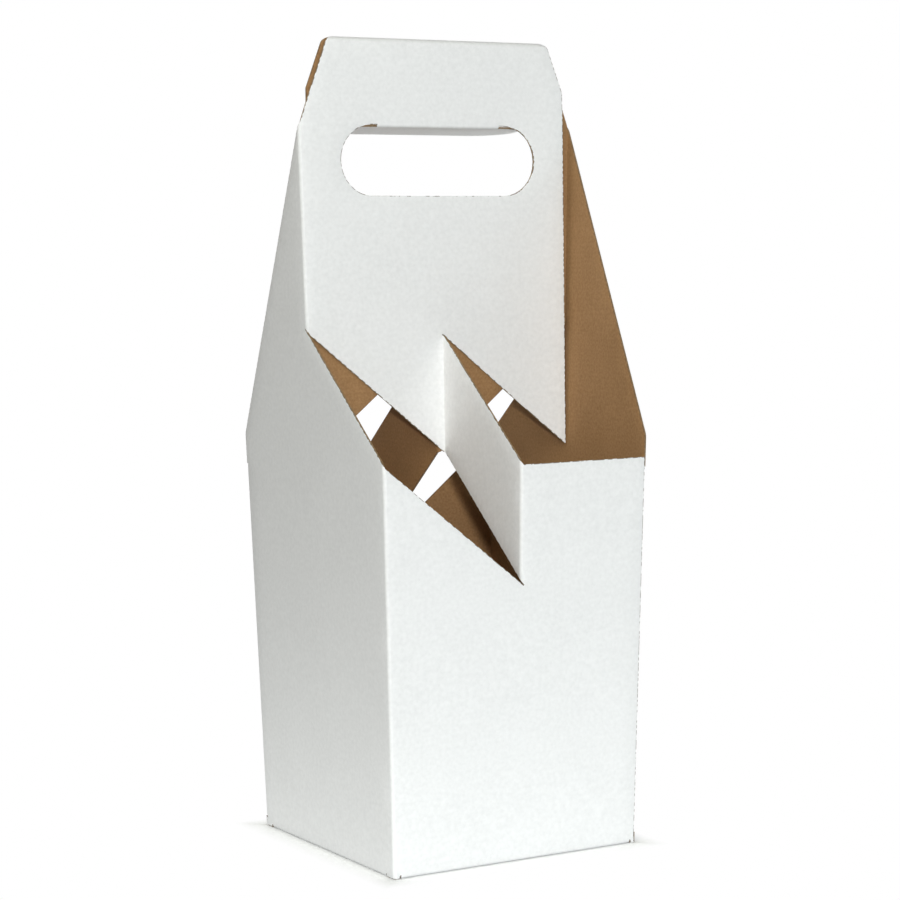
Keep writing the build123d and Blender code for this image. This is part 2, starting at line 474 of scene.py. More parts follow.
def heights(low_height, high_height):
    """Two ends of an edge of which only the height matters."""
    return np.array([0, 0, low_height]), np.array([0, 0, high_height])


print("outside of a fold:", round(fold_outside * math.pi / 2 / MM, 2), "mm of paper")

# %% [markdown]
# ## Where the panels lie
# Each panel is drawn flat, and one function sends a flat point to its folded place with the way out of the
# paper. Bones could fold a flat mesh too, but the soft spread at the handle's top and the lifted minor
# flaps are easier as formulas.

# %% Walls, divider and tab
leaning = math.hypot(1, lean)
left_out = np.array([-1, 0, -lean]) / leaning
front_out = np.array([0, -1, -lean]) / leaning
tab_out = np.array([0, 1, -lean]) / leaning


def on_left(y, h):
    return np.array([-outer_half(h), y, h]), left_out


def on_front(x, h):
    return np.array([x, -outer_half(h), h]), front_out


def on_divider(y, h):
    return np.array([divider_offset, y, h]), np.array([-1.0, 0, 0])


def on_tab(x, h):
    return np.array([x, outer_half(h) - board, h]), tab_out


def left_edge(h):
    return -outer_half(h) + fold_outside


def back_edge(h):
    return outer_half(h) - board


def right_edge(h):
    return outer_half(h) - glue_inset


print("left wall's rim, in metres:", on_left(0, rim_height)[0].round(4))

# %% Handle and flaps


def on_handle(x, h):
    share = min(max((h - spread_start) / (spread_end - spread_start), 0), 1)
    spread = -top_fold_half - handle_face
    loose = max(x - bulge_start, 0) / (free_edge - bulge_start)
    y = handle_face + spread * share * share * (3 - 2 * share) - bulge * loose * loose * (1 - share)
    rise = spread * 6 * share * (1 - share) / (spread_end - spread_start)
    outward = np.array([0, -1, rise]) / math.hypot(1, rise)
    return np.array([x, y, h]), outward


def on_main_flap(y, x):
    return np.array([x, y, 0.0]), np.array([0, 0, -1.0])


def on_minor_flap(x, y):
    lift = board + flap_gap
    share = min(max((y - flap_root) / flap_ramp, 0), 1)
    rise = lift * 6 * share * (1 - share) / flap_ramp
    outward = np.array([0, rise, -1]) / math.hypot(1, rise)
    return np.array([x, y, lift * share * share * (3 - 2 * share)]), outward


def on_hand_flap(x, reach):
    outward = np.array([0, -math.cos(hole_flap_angle), -math.sin(hole_flap_angle)])
    along = np.array([0, math.sin(hole_flap_angle), -math.cos(hole_flap_angle)])
    crease = np.array([x, handle_face + crease_outside, hole_top])
    return crease + outward * crease_outside + along * reach, outward


print("hand flap reaches, in metres:", on_hand_flap(0, 2 * hole_round)[0].round(4))

# %% [markdown]
# ## The two walls
# The left wall rises in a slanted edge to the handle's shoulder. The front wall ends at the level rim. Both
# stop at the lower cut. They could be modelled by hand as faces, but an outline in named sizes follows when
# a size changes. The front half and the rear half of the sheet get the same two walls.

# %% Left wall
sheet = Skin()
other_half = Skin()
corner_rows = 30
handle_rows = 14
tab_rows = 26
flap_rows = 20
corner_cut_left = under_cut + slope * fold_outside
left_cut = slit_height(under_cut, -floor_half, handle_fold_line, lean_x=-lean)
fold_cut = slit_height(lower_cut, -floor_half, handle_fold_line, lean_x=-lean)


def foot_edge(half):
    """The lower edge of a wall along its bottom fold, with a narrow notch at either end."""
    return [
        (-half - relief, foot_gap, CUT),
        (-half - relief, foot, CUT),
        (-half, foot, flap_rows),
        (half, foot, CUT),
        (half + relief, foot, CUT),
        (half + relief, foot_gap, CUT),
    ]


def left_wall(skin):
    slant_start = (back_edge(tab_top), tab_top)
    slant_end = (handle_fold_line, wall_shoulder_height)
    corner = (back_edge(corner_height), corner_height)
    fill_panel(skin, on_left, [
        (left_edge(foot_gap), foot_gap, CUT),
        *foot_edge(main_half),
        (back_edge(foot_gap), foot_gap, CUT),
        (back_edge(tab_foot), tab_foot, CUT),
        (back_edge(tab_foot) - fold_outside, tab_foot, tab_rows),
        (back_edge(tab_top) - fold_outside, tab_top, CUT),
        (*slant_start, CUT),
        *rounded_corner(slant_start, corner, slant_end, corner_round),
        (*slant_end, handle_rows),
        (handle_fold_line, fold_cut, CUT),
        (handle_fold_line, left_cut, CUT),
        (left_edge(corner_cut_left), corner_cut_left, corner_rows),
    ])


for half in (sheet, other_half):
    left_wall(half)
print("left wall:", len(sheet.faces), "faces")

# %% Front wall
divider_rows = 9
corner_cut_front = under_cut - slope * fold_outside
front_cut = slit_height(under_cut, divider_fold_line, -floor_half, lean_y=-lean)


def front_wall(skin):
    fill_panel(skin, on_front, [
        (left_edge(foot_gap), foot_gap, CUT),
        *foot_edge(minor_half),
        (right_edge(foot_gap), foot_gap, CUT),
        (right_edge(rim_height), rim_height, CUT),
        (divider_fold_line, rim_height, divider_rows),
        (divider_fold_line, front_cut + slit_width, CUT),
        (divider_fold_line, front_cut, CUT),
        (left_edge(corner_cut_front), corner_cut_front, corner_rows),
    ])


for half in (sheet, other_half):
    front_wall(half)
print("with the front wall:", len(sheet.faces), "faces")

# %% [markdown]
# ## The handle panel and its top fold
# The panel narrows from its shoulders to the top, and the hand hole is cut out of it. A Boolean could cut
# the hole, but as a second outline in the fill it also gets its pressed ring. In the front layer the hole
# keeps a crease, on which the flap hangs.

# %% Handle panel
crease_rows = 14
top_rows = 20
arc_steps = 16
handle_cut = slit_height(lower_cut, -floor_half + fold_outside, handle_face, lean_x=-lean)
bend_low = slit_height(lower_cut, handle_bend_line, handle_face)
bend_high = slit_height(upper_cut, handle_bend_line, handle_face)
tip_height = slit_height(upper_cut, free_edge, handle_face)


def hand_hole(grow, creased):
    """The long hole's outline, with a crease in the middle of its straight top or not."""
    run = hole_half - hole_round
    radius = hole_round + grow
    crease = [(crease_half, hole_top, crease_rows), (-crease_half, hole_top, CUT)] if creased else []
    return [
        *arc_points((run, hole_level), radius, -90, 90, arc_steps),
        (run, hole_level + radius, CUT),
        *crease,
        *arc_points((-run, hole_level), radius, 90, 270, arc_steps),
        (-run, hole_level - radius, CUT),
    ]


def top_corners():
    """Where the handle's sides reach the top fold."""
    left_foot = np.array([left_edge(fold_shoulder_height), fold_shoulder_height])
    right_foot = np.array([free_edge, edge_shoulder_height])
    ends = []
    for foot, side in ((left_foot, -1), (right_foot, 1)):
        corner = np.array([side * handle_top_half, carrier_height])
        share = (spread_end - foot[1]) / (corner[1] - foot[1])
        ends.append((foot, foot + (corner - foot) * share, corner))
    return ends


def handle_panel(skin, grow, creased):
    (left_foot, left_end, _), (right_foot, right_end, _) = top_corners()
    tip = (free_edge, tip_height)
    fill_panel(skin, on_handle, [
        (left_edge(handle_cut), handle_cut, CUT),
        (handle_bend_line, bend_low, divider_rows),
        (handle_bend_line, bend_high - slit_width, CUT),
        (handle_bend_line, bend_high, CUT),
        (*tip, CUT),
        *rounded_corner(tip, right_foot, right_end, shoulder_round),
        (*right_end, top_rows),
        (*left_end, CUT),
        (*left_foot, handle_rows),
    ], holes=[hand_hole(grow, creased)], shared=False)


handle_panel(sheet, 0, True)
handle_panel(other_half, hole_clearance, False)
print("with the handle panel:", len(sheet.faces), "faces")

# %% Fold along the top


def top_fold(skin, steps=6):
    """Half of the round fold along the handle's top."""
    (_, left_end, left_corner), (_, right_end, right_corner) = top_corners()
    reach = np.linalg.norm(left_corner - left_end)
    shares = row_shares(top_rows)
    places = []
    outwards = []
    for j in range(steps + 1):
        angle = math.pi / 2 * j / steps
        height = spread_end + top_fold_half * math.sin(angle)
        share = (height - spread_end) / top_fold_half
        inset = 1 - math.sqrt(max(0, 1 - share * share))
        left = left_end[0] + (left_corner[0] - left_end[0]) * share + reach * inset
        right = right_end[0] + (right_corner[0] - right_end[0]) * share - reach * inset
        for along in shares:
            x = right + (left - right) * along
            outward = np.array([0, -math.cos(angle), math.sin(angle)])
            places.append(np.array([x, 0, spread_end]) + outward * top_fold_half)
            outwards.append(outward)
    width = len(shares)
    faces = [
        (j * width + i, j * width + i + 1, (j + 1) * width + i + 1, (j + 1) * width + i)
        for j in range(steps) for i in range(width - 1)
    ]
    at_end = np.tile((shares == 0) | (shares == 1), steps + 1)
    places = np.array(places)
    skin.add(places, np.array(outwards), at_end.astype(float), places[:, 2], faces)


for half in (sheet, other_half):
    top_fold(half)
print("with half of the top fold:", len(sheet.faces), "faces")

# %% [markdown]
# ## The divider and the upright folds
# The divider is the strip between the two cuts, folded from the handle to the front wall. Five upright
# folds join the panels made so far and the glue tab. They could be bevels of sharp edges, but a bevel would
# move the ends of the cuts.

# %% Divider
divider_back = handle_face - fold_inside


def divider(skin):
    def corner(level, at_front, rows):
        if at_front:
            start = -floor_half + fold_outside
            height = slit_height(level, divider_offset, start, lean_y=-lean)
            return (start - height * lean, height, rows)
        return (divider_back, slit_height(level, divider_offset, divider_back), rows)
    top = upper_cut - slit_width
    outline = [
        corner(lower_cut, True, CUT),
        corner(lower_cut, False, divider_rows),
        corner(top, False, CUT),
        corner(top, True, divider_rows),
    ]
    fill_panel(skin, on_divider, outline)
    return outline


dividers = [divider(half) for half in (sheet, other_half)]
print("with the divider:", len(sheet.faces), "faces")

# %% Upright folds


def upright_folds(skin, strip):
    corner = -floor_half + fold_outside
    front_low, back_low, back_high, front_high = (point[1] for point in strip)
    add_fold(
        skin, corner_rows,
        heights(foot_gap, corner_cut_left)[::-1], heights(foot_gap, corner_cut_front)[::-1],
        round_axis(lambda z: corner - lean * z, lambda z: corner - lean * z, fold_outside, to_left, to_front),
    )
    add_fold(
        skin, handle_rows, heights(fold_cut, wall_shoulder_height), heights(handle_cut, fold_shoulder_height),
        round_axis(lambda z: corner - lean * z, lambda z: handle_fold_line, fold_outside, to_left, to_front),
    )
    add_fold(
        skin, divider_rows, heights(bend_low, bend_high - slit_width), heights(back_low, back_high),
        round_axis(
            lambda z: handle_bend_line, lambda z: divider_back, fold_inside, to_back, to_right, inward=True),
    )
    add_fold(
        skin, divider_rows, heights(front_low, front_high), heights(front_cut + slit_width, rim_height),
        round_axis(lambda z: divider_fold_line, lambda z: corner - lean * z, fold_outside, to_left, to_front),
    )
    add_fold(
        skin, tab_rows, heights(tab_foot, tab_top), heights(tab_foot, tab_top),
        round_axis(
            lambda z: corner - lean * z, lambda z: -corner - board + lean * z,
            fold_outside, to_left, to_back),
    )


for half, strip in zip((sheet, other_half), dividers):
    upright_folds(half, strip)
print("with the upright folds:", len(sheet.faces), "faces")

# %% [markdown]
# ## Tabs, bottom flaps and hand flap
# These panels are folded inwards: the tab inside the next wall, the flaps under the bottles and the hand
# flap through the handle. Loose planes would look much the same, but panels that hang on their folds close
# the foot and the hand hole as the real sheet does.

# %% Glue tab and bottom flaps


def glue_tab(skin):
    root = -floor_half + fold_outside
    tip = -floor_half + tab_width
    fill_panel(skin, on_tab, [
        (root - tab_foot * lean, tab_foot, CUT),
        (tip - tab_foot * lean, tab_foot + tab_slant, CUT),
        (tip - tab_top * lean, tab_top - tab_slant, CUT),
        (root - tab_top * lean, tab_top, tab_rows),
    ])


def foot_fold(skin, half, along, out_of_wall):
    """The fold under a wall, from minus half to half of its run."""
    def bend(first, last, share):
        angle = math.pi / 2 * share
        outward = out_of_wall * math.cos(angle) - np.array([0, 0, 1]) * math.sin(angle)
        return first + outward * fold_outside, outward
    middle = np.array([0, 0, foot]) - out_of_wall * flap_root
    ends = (middle - along * half, middle + along * half)
    add_fold(skin, flap_rows, ends, ends, bend)


def main_flap(skin):
    foot_fold(skin, main_half, np.array([0, 1.0, 0]), np.array([-1.0, 0, 0]))
    fill_panel(skin, on_main_flap, [
        (-main_half, flap_root, CUT),
        (-main_half, hook_reach, CUT),
        (-hook_run / 2, hook_reach, CUT),
        (hook_run / 2, -hook_reach - hook_seam, CUT),
        (main_half, -hook_reach - hook_seam, CUT),
        (main_half, flap_root, flap_rows),
    ], flute=lambda y, x: flap_root - x)


def minor_flap(skin):
    foot_fold(skin, minor_half, np.array([1.0, 0, 0]), np.array([0, -1.0, 0]))
    fill_panel(skin, on_minor_flap, [
        (-minor_half, flap_root, flap_rows),
        (minor_half, flap_root, CUT),
        (minor_half - minor_slant, flap_root + minor_depth, CUT),
        (-minor_half + minor_slant, flap_root + minor_depth, CUT),
    ], flute=lambda x, y: flap_root - y)


for half in (sheet, other_half):
    glue_tab(half)
    main_flap(half)
    minor_flap(half)
print("with the tab and the flaps:", len(sheet.faces), "faces")

# %% Hand flap, and both halves together
crease_steps = 8


def hand_flap(skin):
    run = hole_half - hole_round
    def bend(first, last, share):
        angle = hole_flap_angle * share
        outward = np.array([0, -math.cos(angle), -math.sin(angle)])
        axis = np.array([first[0], handle_face + crease_outside, hole_top])
        return axis + outward * crease_outside, outward
    ends = (np.array([crease_half, 0, 0]), np.array([-crease_half, 0, 0]))
    add_fold(skin, crease_rows, ends, ends, bend, steps=crease_steps)
    radius = hole_round - hole_flap_gap
    fill_panel(skin, on_hand_flap, [
        (crease_half, 0.0, crease_rows),
        (-crease_half, 0.0, CUT),
        *arc_points((-run, hole_round), radius, 270, 90, arc_steps),
        *arc_points((run, hole_round), radius, 90, -90, arc_steps),
    ], flute=lambda x, reach: hole_top - reach, shared=False)


hand_flap(sheet)
sheet.add_turned(other_half)
sheet.weld()
print("skin of the sheet:", len(sheet.places), "points,", len(sheet.faces), "faces")

# %% [markdown]
# ## Two liners
# The white and the kraft paper are each a thin closed skin. Along the die's cuts both are pressed towards
# the middle, which gives the soft bright line that a cut edge of fluted board shows. A Solidify modifier
# gives thickness but no such press, so the two faces are set off from the skin in code.

# %% Liners of paper
liner_paper = 0.25 * MM
crush_depth = 0.3 * MM
liner_sharp_angle = 40


def boundary(faces):
    """Edges that only one face has, in that face's direction."""
    seen = {}
    for face in faces:
        for a, b in zip(face, face[1:] + face[:1]):
            key = (min(a, b), max(a, b))
            seen[key] = None if key in seen else (a, b)
    return [edge for edge in seen.values() if edge]


def add_object(name, data):
    """An object of the scene that holds a mesh, a light or a camera."""
    added = bpy.data.objects.new(name, data)
    bpy.context.scene.collection.objects.link(added)
    return added


def liner(name, shown_depth, hidden_depth, face_material, edge_material):
    """A closed paper skin between two depths under the white face."""
    inwards = np.sign(hidden_depth - shown_depth)
    press = (sheet.cuts * crush_depth * inwards)[:, None]
    shown = sheet.places - (shown_depth + press) * sheet.outwards
    hidden = sheet.places - (hidden_depth + press) * sheet.outwards
    count = len(sheet.places)
    outward_faces = sheet.faces if inwards > 0 else [face[::-1] for face in sheet.faces]
    back_faces = [tuple(i + count for i in face[::-1]) for face in outward_faces]
    rim_faces = [(b, a, a + count, b + count) for a, b in boundary(outward_faces)]
    mesh = bpy.data.meshes.new(name)
    mesh.from_pydata(np.vstack([shown, hidden]).tolist(), [], outward_faces + back_faces + rim_faces)
    mesh.materials.append(face_material)
    mesh.materials.append(edge_material)
    slots = np.ones(len(mesh.polygons), np.int32)
    slots[:len(outward_faces)] = 0
    mesh.polygons.foreach_set("material_index", slots)
    across = mesh.attributes.new("across_flutes", "FLOAT", "POINT")
    across.data.foreach_set("value", np.tile(sheet.flutes, 2).astype(np.float32))
    cut_edge = mesh.attributes.new("cut_edge", "FLOAT", "POINT")
    cut_edge.data.foreach_set("value", np.tile(sheet.cuts, 2).astype(np.float32))
    mesh.shade_smooth()
    mesh.set_sharp_from_angle(angle=math.radians(liner_sharp_angle))
    return add_object(name, mesh)


print("cut edges in the skin:", len(boundary(sheet.faces)))

# %% [markdown]
# ## Node trees as sums
# The papers and the flutes are made by nodes. They could be placed by hand in the editor, but a tree reads
# best as arithmetic. `Socket` wraps one output, so that `1 - mask` adds a Math node. Every other node is made
# by `Nodes.add`: its settings first, because they decide which sockets it has.

# %% One value of a tree


def find(sockets, key):
    """A socket by number, or by the name it shows under the node's settings."""
    if isinstance(key, int):
        return sockets[key]
    return next(socket for socket in sockets if socket.name == key and socket.enabled)


class Socket:
    """One value of a node tree, used like a number."""

    def __init__(self, nodes, source):
        self.nodes = nodes
        self.source = source

    def math(self, operation, *values):
        return self.nodes.add("ShaderNodeMath", {"operation": operation}, dict(enumerate(values)))

    def __add__(self, other):
        return self.math("ADD", self, other)

    def __radd__(self, other):
        return self.math("ADD", other, self)

    def __sub__(self, other):
        return self.math("SUBTRACT", self, other)

    def __rsub__(self, other):
        return self.math("SUBTRACT", other, self)

    def __mul__(self, other):
        return self.math("MULTIPLY", self, other)

    def __rmul__(self, other):
        return self.math("MULTIPLY", other, self)

    def __truediv__(self, other):
        return self.math("DIVIDE", self, other)

    def __rtruediv__(self, other):
        return self.math("DIVIDE", other, self)

    def sine(self):
        return self.math("SINE", self)

    def floor(self):
        return self.math("FLOOR", self)

    def size(self):
        return self.math("ABSOLUTE", self)

    def ramp(self, start, end):
        """0 below start, 1 above end, smooth between."""
        values = {"Value": self, "From Min": start, "From Max": end}
        return self.nodes.add("ShaderNodeMapRange", {"interpolation_type": "SMOOTHSTEP"}, values)


print("operators add Math nodes to the tree")

# %% The nodes of a tree


class Nodes:
    """Makes the nodes of one tree."""

    def __init__(self, tree):
        self.tree = tree

    def add(self, kind, settings=None, values=None, output=0):
        node = self.tree.nodes.new(kind)
        for name, value in (settings or {}).items():
            setattr(node, name, value)
        for name, value in (values or {}).items():
            self.feed(find(node.inputs, name), value)
        return Socket(self, find(node.outputs, output)) if node.outputs else node

    def feed(self, socket, value):
        for item in value if isinstance(value, list) else [value]:
            if isinstance(item, Socket):
                self.tree.links.new(item.source, socket)
            else:
                socket.default_value = item

    def scaled(self, vector, factor):
        return self.add("ShaderNodeVectorMath", {"operation": "SCALE"}, {0: vector, "Scale": factor})

    def colour_mix(self, factor, dark, light):
        values = {"Factor": factor, "A": dark, "B": light}
        return self.add("ShaderNodeMix", {"data_type": "RGBA"}, values, "Result")

    def noise(self, place, scale, detail=2.0):
        return self.add("ShaderNodeTexNoise", None, {"Vector": place, "Scale": scale, "Detail": detail})


print("Nodes.add makes every other kind of node")

# %% [markdown]
# ## Four papers
# The white paper is smooth and almost even. The kraft paper shows clouds and fine fibres. On both, the
# flutes press through as faint level ridges, a bump whose light and dark stripes are also painted shade in
# the tone, and the die leaves brown nicks at the cuts. The raw edge and the fluted paper are rough and
# brown. Scanned paper could be used, but noise works at any size, so one function mixes all four.

# %% A paper
flute_pitch = 3.2 * MM
cloud_scale = 24.0
nick_scale = 330.0
nick_ridge_share = 0.1
nick_band = (0.66, 0.86)
nick_noise = (0.42, 0.54)
rough_grain_share = 0.3
bump_ridge_share = 0.3
paper_gloss = 0.25


def rgb(red, green, blue):
    return (red, green, blue, 1.0)


edge_brown = rgb(0.10, 0.06, 0.035)


def paper(name, dark, light, roughness, clouds, mottle, ridge_shade, relief_depth, torn=0.0, fibres=420.0):
    """A paper whose tone runs from dark to light by clouds, mottle and painted shade along the flute ridges.
    """
    material = bpy.data.materials.new(name)
    material.use_nodes = True
    nodes = Nodes(material.node_tree)
    shader = material.node_tree.nodes["Principled BSDF"]
    place = nodes.add("ShaderNodeTexCoord", output="Object")
    across = nodes.add("ShaderNodeAttribute", {"attribute_name": "across_flutes"}, output="Fac")
    cloud = nodes.noise(place, cloud_scale, 3.0) - 0.5
    grain = nodes.noise(place, fibres, 4.0) - 0.5
    ridge = (across * (math.tau / flute_pitch)).sine()
    # Painted shade: the tone turns lighter and darker along the flute ridges, as light falls on their relief.
    tone = 0.5 + cloud * clouds + grain * mottle + ridge * ridge_shade
    cut_edge = nodes.add("ShaderNodeAttribute", {"attribute_name": "cut_edge"}, output="Fac")
    ragged = nodes.noise(place, nick_scale, 1.0) + ridge * nick_ridge_share
    nicks = cut_edge.ramp(*nick_band) * ragged.ramp(*nick_noise) * torn
    plain = nodes.colour_mix(tone, dark, light)
    nodes.feed(shader.inputs["Base Color"], nodes.colour_mix(nicks, plain, edge_brown))
    nodes.feed(shader.inputs["Roughness"], roughness + grain * rough_grain_share)
    height = ridge * bump_ridge_share + grain
    bump = nodes.add("ShaderNodeBump", None, {"Strength": 1.0, "Distance": relief_depth, "Height": height})
    nodes.feed(shader.inputs["Normal"], bump)
    shader.inputs["Specular IOR Level"].default_value = paper_gloss
    return material


print("a wave of the flutes is", flute_pitch / MM, "mm long")

# %% The papers and the liners
# ridge_shade is each paper's share of painted shade along the flute ridges.
white_paper = paper(
    "white_paper", rgb(0.785, 0.785, 0.785), rgb(0.935, 0.935, 0.935), roughness=0.6,
    clouds=0.3, mottle=1.1, ridge_shade=0.01, relief_depth=0.01 * MM, torn=0.9)
kraft_paper = paper(
    "kraft_paper", rgb(0.215, 0.113, 0.045), rgb(0.455, 0.262, 0.121), roughness=0.8,
    clouds=0.4, mottle=1.0, ridge_shade=0.02, relief_depth=0.02 * MM, torn=0.8, fibres=700.0)
raw_edge = paper(
    "raw_edge", rgb(0.24, 0.16, 0.08), rgb(0.44, 0.31, 0.18), roughness=0.9,
    clouds=0.5, mottle=1.2, ridge_shade=0.0, relief_depth=0.03 * MM)
medium_paper = paper(
    "medium_paper", rgb(0.20, 0.13, 0.07), rgb(0.40, 0.28, 0.16), roughness=0.9,
    clouds=0.5, mottle=1.0, ridge_shade=0.0, relief_depth=0.03 * MM)

white_liner = liner("white_liner", 0, liner_paper, white_paper, raw_edge)
kraft_liner = liner("kraft_liner", board, board - liner_paper, kraft_paper, raw_edge)
for piece in (white_liner, kraft_liner):
    print(piece.name, len(piece.data.polygons), "faces")

# %% [markdown]
# ## The fluted paper
# Between the liners runs a wavy paper, and its waves show at the cut edges. A bump could only fake them on a
# flat edge. Python cuts flat strips to the outline of each panel, because only it knows the outlines, and
# nodes will bend them.

# %% Flat strips between the liners
flute_rows = 8
flute_inset = 0.15 * MM
bulge_parts = 4
bulge_breaks = np.linspace(bulge_start, free_edge, bulge_parts + 1)[:-1]


def spans(starts, ends, height, breaks):
    """Stretches of a level line on the panel, a little short of its edges, split at the breaks."""
    crossed = (starts[:, 1] > height) != (ends[:, 1] > height)
    a, b = starts[crossed], ends[crossed]
    marks = np.sort(a[:, 0] + (height - a[:, 1]) / (b[:, 1] - a[:, 1]) * (b[:, 0] - a[:, 0]))
    pieces = []
    for start, end in zip(marks[::2] + flute_inset, marks[1::2] - flute_inset):
        if end - start > flute_inset:
            stops = [start, *(s for s in breaks if start < s < end), end]
            pieces += zip(stops, stops[1:])
    return pieces


def strip_points(loops, breaks):
    """Points and faces of the strips of one panel, on the flat blank."""
    starts = np.vstack(loops)
    ends = np.vstack([np.roll(loop, -1, axis=0) for loop in loops])
    lowest = starts[:, 1].min() + flute_inset
    highest = starts[:, 1].max() - flute_inset
    rows = np.arange(lowest, highest, flute_pitch / flute_rows)
    points = []
    faces = []
    before = []
    for height in rows:
        here = []
        for start, end in spans(starts, ends, height, breaks):
            here.append((len(points), start, end))
            points += [(start, height), (end, height)]
        if len(here) == len(before):
            for (i, start, end), (j, start2, end2) in zip(before, here):
                if min(end, end2) > max(start, start2):
                    faces.append((i, i + 1, j + 1, j))
        before = here
    return points, faces


print("a wave has", flute_rows, "strips")

# %% The strips of all panels
strips = Skin()
shared_faces = []
for half, side in ((sheet, 1), (other_half, -1)):
    for place, loops, flute, shared in half.panels:
        if shared and side < 0:
            continue
        points, faces = strip_points(loops, () if shared else bulge_breaks)
        placed = [place(s, h) for s, h in points]
        turn = np.array([side, side, 1.0])
        outwards = np.array([n for _, n in placed]) * turn
        middles = np.array([p for p, _ in placed]) * turn - outwards * board / 2
        flutes = np.array([flute(s, h) for s, h in points])
        strips.add(middles, outwards, np.zeros(len(points)), flutes, faces)
        shared_faces += [shared] * len(faces)
strips.faces = [strips.faced_out(face) for face in strips.faces]
print("strips:", len(strips.faces), "faces,", sum(shared_faces), "of them in both halves")

# %% [markdown]
# ## Waves by geometry nodes
# The tree lifts each strip by a sine of its height across the flutes and makes it thick. It then turns a
# second copy of the panels that both halves share half round. A Wave modifier counts its waves along the
# object's own X and Y, but these waves have to follow panels that face every way.

# %% A tree that makes the waves
least_rise_share = 0.88
seam_reach = 0.001 * MM
flute_tree = bpy.data.node_groups.new("fluted_medium", "GeometryNodeTree")
for name, kind in (("Geometry", "Geometry"), ("Pitch", "Float"), ("Rise", "Float"), ("Paper", "Float"),
                   ("Seed", "Int"), ("Material", "Material")):
    flute_tree.interface.new_socket(name=name, in_out="INPUT", socket_type="NodeSocket" + kind)
flute_tree.interface.new_socket(name="Geometry", in_out="OUTPUT", socket_type="NodeSocketGeometry")
nodes = Nodes(flute_tree)
entry = flute_tree.nodes.new("NodeGroupInput")
given = {socket.name: Socket(nodes, socket) for socket in entry.outputs if socket.name}


def stored(name, kind):
    return nodes.add("GeometryNodeInputNamedAttribute", {"data_type": kind}, {"Name": name})


outward = stored("outward", "FLOAT_VECTOR")
turns = stored("across_flutes", "FLOAT") / given["Pitch"]
uneven = nodes.add("FunctionNodeRandomValue", {"data_type": "FLOAT"}, {
    "Min": least_rise_share, "Max": 1.0, "ID": turns.floor(), "Seed": given["Seed"]}, "Value")
wave = (turns * math.tau).sine() * given["Rise"] * uneven
waved = nodes.add("GeometryNodeSetPosition", None, {
    "Geometry": given["Geometry"], "Offset": nodes.scaled(outward, wave)})
print("waves between", least_rise_share, "and 1.0 of their full rise")

# %% Thickness and the second half
top = nodes.add("GeometryNodeExtrudeMesh", None, {
    "Mesh": waved, "Offset": outward, "Offset Scale": given["Paper"], "Individual": False})
under = nodes.add("GeometryNodeFlipFaces", None, {"Mesh": waved})
joined = nodes.add("GeometryNodeJoinGeometry", None, {"Geometry": [top, under]})
closed = nodes.add("GeometryNodeMergeByDistance", None, {"Geometry": joined, "Distance": seam_reach})
values = {"Geometry": closed, "Selection": stored("shared", "BOOLEAN")}
both = nodes.add("GeometryNodeSeparateGeometry", {"domain": "FACE"}, values, "Selection")
one = nodes.add("GeometryNodeSeparateGeometry", {"domain": "FACE"}, values, "Inverted")
half_turns = nodes.add("GeometryNodeInputIndex") * math.pi
halves = nodes.add("GeometryNodeInstanceOnPoints", None, {
    "Points": nodes.add("GeometryNodePoints", None, {"Count": 2}),
    "Instance": both,
    "Rotation": nodes.add("ShaderNodeCombineXYZ", None, {"Z": half_turns})})
whole = nodes.add("GeometryNodeJoinGeometry", None, {"Geometry": [halves, one]})
real = nodes.add("GeometryNodeRealizeInstances", None, {"Geometry": whole})
dressed = nodes.add("GeometryNodeSetMaterial", None, {"Geometry": real, "Material": given["Material"]})
leave = flute_tree.nodes.new("NodeGroupOutput")
nodes.feed(leave.inputs["Geometry"], dressed)
print("tree of", len(flute_tree.nodes), "nodes")

# %% [markdown]
# ## From modifier to mesh
# The strips carry what the tree asks for as attributes, and a modifier runs the tree on them. The modifier
# could stay, but a plain mesh is safer to export. So the result is kept as a mesh and the modifier is
# removed.

# %% The strips with their modifier
medium_thickness = 0.18 * MM
flute_seed = 7
strip_mesh = bpy.data.meshes.new("fluted_medium")
strip_mesh.from_pydata(strips.places.tolist(), [], strips.faces)
for name, kind, domain, field, data in (
        ("outward", "FLOAT_VECTOR", "POINT", "vector", strips.outwards.ravel()),
        ("across_flutes", "FLOAT", "POINT", "value", strips.flutes),
        ("shared", "BOOLEAN", "FACE", "value", shared_faces)):
    strip_mesh.attributes.new(name, kind, domain).data.foreach_set(field, data)
medium = add_object("fluted_medium", strip_mesh)
modifier = medium.modifiers.new("flutes", "NODES")
modifier.node_group = flute_tree
inputs = {item.name: item.identifier for item in flute_tree.interface.items_tree if item.in_out == "INPUT"}
modifier[inputs["Pitch"]] = flute_pitch
modifier[inputs["Rise"]] = board / 2 - liner_paper - medium_thickness
modifier[inputs["Paper"]] = medium_thickness
modifier[inputs["Seed"]] = flute_seed
modifier[inputs["Material"]] = medium_paper
print("modifier inputs:", list(inputs))

# %% The fluted paper as a mesh
medium_sharp_angle = 60
evaluated = medium.evaluated_get(bpy.context.evaluated_depsgraph_get())
baked = bpy.data.meshes.new_from_object(evaluated)
medium.modifiers.remove(modifier)
medium.data = baked
baked.shade_smooth()
baked.set_sharp_from_angle(angle=math.radians(medium_sharp_angle))
print("fluted paper:", len(baked.polygons), "faces")

# %% [markdown]
# ## One body
# The carrier has no joints: glue and hooks hold its folds. The three papers could be joined to one mesh, but
# as separate pieces each keeps its own finish. All three ride on the one body, and the measured solid is
# hidden.

# %% The pieces take their place
for piece in (white_liner, kraft_liner, medium):
    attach(piece, "root")
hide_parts("folded_carrier")
print("three papers on one body")
